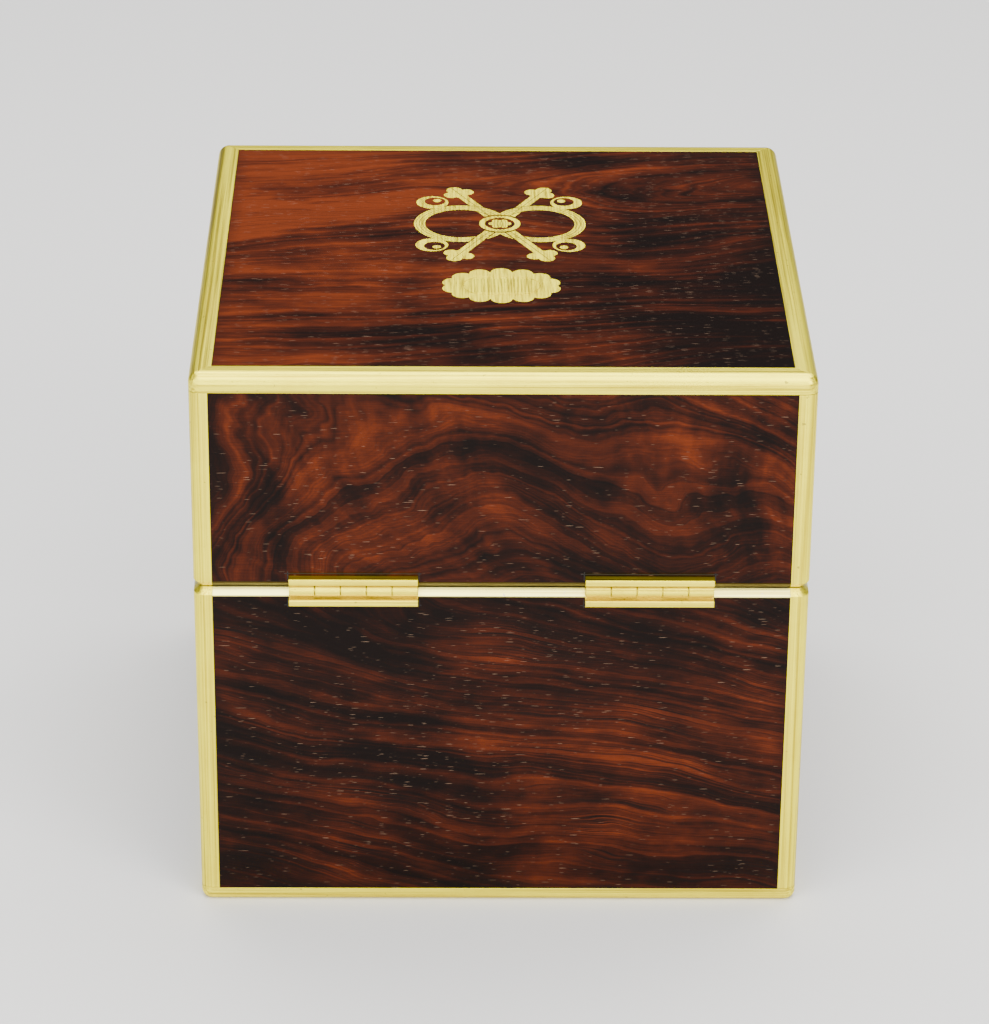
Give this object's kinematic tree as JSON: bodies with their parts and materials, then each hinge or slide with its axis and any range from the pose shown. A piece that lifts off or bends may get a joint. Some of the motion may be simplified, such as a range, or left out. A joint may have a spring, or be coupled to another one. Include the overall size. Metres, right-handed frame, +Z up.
{
  "type": "marine chronometer",
  "caption": "Brass-bound rosewood cube box with a hinged lid, lock and flush handles, holding a gimballed chain-and-fusee timekeeper with a glazed silvered dial.",
  "frame": {"origin": "middle of the underside of the box, on the surface it stands on", "axes": "+Z up; -Y is the front, with the lock; +Y is the back, with the lid's hinges and twelve o'clock"},
  "size_m": [0.18, 0.1826, 0.175],
  "materials": {
    "rosewood": "French-polished, high gloss",
    "case_brass": "satin, brushed lengthwise, lightly tarnished",
    "hinge_brass": "satin, darker in the joints",
    "lacquered_brass": "polished and lacquered",
    "gilt_brass": "spotted and gilt",
    "polished_steel": "polished",
    "blued_steel": "heat-blued",
    "gold_hands": "polished gold",
    "silvered_dial": "grained and silvered",
    "crystal_glass": "clear"
  },
  "bodies": {
    "base": {"base_front_board": "rosewood", "base_back_board": "rosewood", "base_side_boards": "rosewood", "base_bottom_board": "rosewood", "base_foot_binding": "case_brass", "base_corner_binding": "case_brass", "base_rim_binding": "case_brass", "hinge_base_leaves": "hinge_brass", "hinge_pins": "hinge_brass", "base_wood_screws": "hinge_brass", "lock_case": "case_brass", "lock_escutcheon": "case_brass", "handle_pans": "case_brass", "gimbal_brackets": "lacquered_brass", "gimbal_outer_pivots": "polished_steel", "key_socket": "lacquered_brass", "gimbal_lock_bracket": "lacquered_brass"},
    "lid": {"lid_front_board": "rosewood", "lid_back_board": "rosewood", "lid_side_boards": "rosewood", "lid_top_board": "rosewood", "lid_top_binding": "case_brass", "lid_corner_binding": "case_brass", "lid_rim_binding": "case_brass", "lid_inlay": "case_brass", "hinge_lid_leaves": "hinge_brass", "lid_wood_screws": "hinge_brass", "lock_link_plate": "case_brass"},
    "left_handle": {"left_handle": "case_brass"},
    "right_handle": {"right_handle": "case_brass"},
    "lock_bolt": {"lock_bolt": "polished_steel"},
    "winding_key": {"winding_key": "lacquered_brass"},
    "gimbal_lock_lever": {"gimbal_lock_lever": "lacquered_brass"},
    "gimbal_ring": {"gimbal_ring": "lacquered_brass", "gimbal_inner_pivots": "polished_steel"},
    "bowl": {"bowl": "lacquered_brass", "bezel": "lacquered_brass", "crystal": "crystal_glass", "dial": "silvered_dial", "pillar_plate": "gilt_brass", "back_plate": "gilt_brass", "balance_cock": "gilt_brass", "fusee_chain": "polished_steel"},
    "winding_shutter": {"winding_shutter": "lacquered_brass"},
    "barrel": {"barrel": "gilt_brass", "mainspring": "polished_steel"},
    "fusee": {"fusee": "gilt_brass"},
    "great_wheel": {"great_wheel": "gilt_brass"},
    "centre_wheel": {"centre_wheel": "gilt_brass", "minute_hand": "gold_hands"},
    "third_wheel": {"third_wheel": "gilt_brass"},
    "fourth_wheel": {"fourth_wheel": "gilt_brass", "seconds_hand": "blued_steel"},
    "escape_wheel": {"escape_wheel": "gilt_brass"},
    "balance_wheel": {"balance_wheel": "polished_steel", "balance_spring": "blued_steel"},
    "detent": {"detent": "polished_steel"},
    "minute_wheel": {"minute_wheel": "gilt_brass"},
    "hour_hand": {"hour_hand": "gold_hands"},
    "power_hand": {"power_hand": "blued_steel"}
  },
  "joints": [
    {"name": "lid_hinge", "type": "hinge", "parent": "base", "child": "lid", "pos_m": [0, 0.0903, 0.1065], "axis": [-1, 0, 0], "range_deg": [0, 95]},
    {"name": "left_handle_lift", "type": "hinge", "parent": "base", "child": "left_handle", "pos_m": [-0.0873, 0, 0.072], "axis": [0, 1, 0], "range_deg": [0, 95]},
    {"name": "right_handle_lift", "type": "hinge", "parent": "base", "child": "right_handle", "pos_m": [0.0873, 0, 0.072], "axis": [0, -1, 0], "range_deg": [0, 95]},
    {"name": "lock_bolt_slide", "type": "slide", "parent": "base", "child": "lock_bolt", "axis": [1, 0, 0], "range_m": [0, 0.003]},
    {"name": "winding_key_lift", "type": "slide", "parent": "base", "child": "winding_key", "axis": [0, 0, 1], "range_m": [0, 0.07]},
    {"name": "gimbal_lock_turn", "type": "hinge", "parent": "base", "child": "gimbal_lock_lever", "pos_m": [0.068, -0.07, 0.084], "axis": [0, 0, -1], "range_deg": [0, 45]},
    {"name": "gimbal_ring_tilt", "type": "hinge", "parent": "base", "child": "gimbal_ring", "pos_m": [0, 0, 0.086], "axis": [1, 0, 0], "range_deg": [-40, 40]},
    {"name": "bowl_tilt", "type": "hinge", "parent": "gimbal_ring", "child": "bowl", "pos_m": [0, 0, 0.086], "axis": [0, 1, 0], "range_deg": [-180, 180]},
    {"name": "winding_shutter_swing", "type": "hinge", "parent": "bowl", "child": "winding_shutter", "pos_m": [0.004, 0.014, 0.034], "axis": [0, 0, -1], "range_deg": [0, 60]},
    {"name": "fourth_spin", "type": "hinge", "parent": "bowl", "child": "fourth_wheel", "pos_m": [0, -0.023, 0.086], "axis": [0, 0, -1], "continuous": true},
    {"name": "third_spin", "type": "hinge", "parent": "bowl", "child": "third_wheel", "pos_m": [0.01374, -0.01298, 0.086], "axis": [0, 0, -1], "continuous": true},
    {"name": "centre_spin", "type": "hinge", "parent": "bowl", "child": "centre_wheel", "pos_m": [0, 0, 0.086], "axis": [0, 0, -1], "continuous": true},
    {"name": "great_spin", "type": "hinge", "parent": "bowl", "child": "great_wheel", "pos_m": [-0.01116, 0.02005, 0.086], "axis": [0, 0, -1], "continuous": true},
    {"name": "escape_spin", "type": "hinge", "parent": "bowl", "child": "escape_wheel", "pos_m": [-0.0139, -0.01468, 0.086], "axis": [0, 0, -1], "continuous": true},
    {"name": "minute_work_spin", "type": "hinge", "parent": "bowl", "child": "minute_wheel", "pos_m": [0.0096, 0, 0.086], "axis": [0, 0, -1], "continuous": true},
    {"name": "hour_spin", "type": "hinge", "parent": "bowl", "child": "hour_hand", "pos_m": [0, 0, 0.086], "axis": [0, 0, -1], "continuous": true},
    {"name": "fusee_winding", "type": "hinge", "parent": "bowl", "child": "fusee", "pos_m": [-0.01116, 0.02005, 0.086], "axis": [0, 0, -1], "range_deg": [0, 2700]},
    {"name": "barrel_turn", "type": "hinge", "parent": "bowl", "child": "barrel", "pos_m": [0.0225, 0.003, 0.086], "axis": [0, 0, -1], "range_deg": [0, 1800]},
    {"name": "power_hand_turn", "type": "hinge", "parent": "bowl", "child": "power_hand", "pos_m": [0, 0.021, 0.086], "axis": [0, 0, -1], "range_deg": [-300, 0]},
    {"name": "balance_swing", "type": "hinge", "parent": "bowl", "child": "balance_wheel", "pos_m": [-0.0042, -0.0106, 0.086], "axis": [0, 0, 1], "range_deg": [-270, 270], "stiffness_Nm_per_rad": 0.00028},
    {"name": "detent_release", "type": "hinge", "parent": "bowl", "child": "detent", "pos_m": [-0.0221, -0.033, 0.086], "axis": [0, 0, 1], "range_deg": [0, 1.5], "stiffness_Nm_per_rad": 0.02}
  ],
  "couplings": [
    {"joint": "third_spin", "follows": "fourth_spin", "ratio": -0.13333},
    {"joint": "centre_spin", "follows": "fourth_spin", "ratio": 0.016667},
    {"joint": "great_spin", "follows": "fourth_spin", "ratio": -0.0022222},
    {"joint": "escape_spin", "follows": "fourth_spin", "ratio": -8},
    {"joint": "minute_work_spin", "follows": "fourth_spin", "ratio": -0.0055556},
    {"joint": "hour_spin", "follows": "fourth_spin", "ratio": 0.0013889},
    {"joint": "barrel_turn", "follows": "fusee_winding", "ratio": 0.66},
    {"joint": "power_hand_turn", "follows": "fusee_winding", "ratio": -0.11111}
  ]
}
